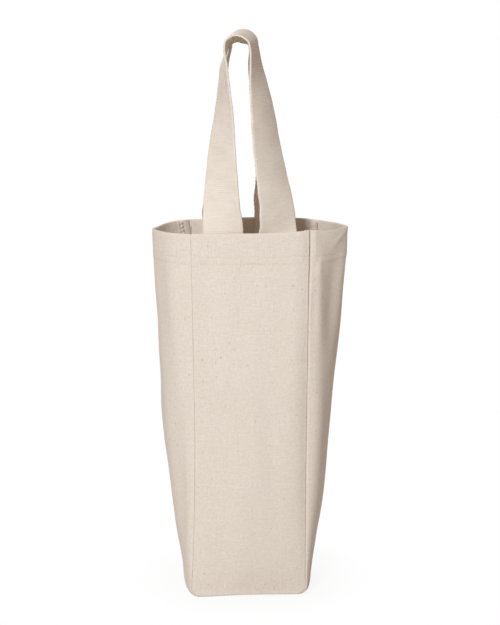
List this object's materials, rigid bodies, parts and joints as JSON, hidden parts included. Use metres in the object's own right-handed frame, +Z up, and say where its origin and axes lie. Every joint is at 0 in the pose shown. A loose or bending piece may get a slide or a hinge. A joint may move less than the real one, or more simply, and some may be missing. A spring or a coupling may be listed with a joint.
{
  "type": "bottle carrier",
  "caption": "Tall unlined canvas bag for one bottle, nearly square at the base and drawn out into a long oval at its hemmed mouth, with twin webbing carrying loops.",
  "frame": {"origin": "middle of the underside of the base, on the surface that the bag stands on", "axes": "+X to the right seen from the front, +Y to the back, +Z up to the mouth and the handles"},
  "size_m": [0.1694, 0.1128, 0.4868],
  "materials": {
    "canvas": "undyed woven cotton, matt",
    "webbing": "undyed woven cotton tape"
  },
  "bodies": {
    "bag": {"front_panel": "canvas", "back_panel": "canvas", "gusset_strip": "canvas", "front_seam": "canvas", "back_seam": "canvas", "front_handle_left_end": "webbing", "front_handle_right_end": "webbing", "back_handle_left_end": "webbing", "back_handle_right_end": "webbing"},
    "front_handle": {"front_handle": "webbing"},
    "back_handle": {"back_handle": "webbing"}
  },
  "joints": [
    {"name": "front_handle_swing", "type": "hinge", "parent": "bag", "child": "front_handle", "pos_m": [0, -0.0386, 0.318], "axis": [1, 0, 0], "range_deg": [0, 160]},
    {"name": "back_handle_swing", "type": "hinge", "parent": "bag", "child": "back_handle", "pos_m": [0, 0.0386, 0.318], "axis": [-1, 0, 0], "range_deg": [0, 160]}
  ]
}
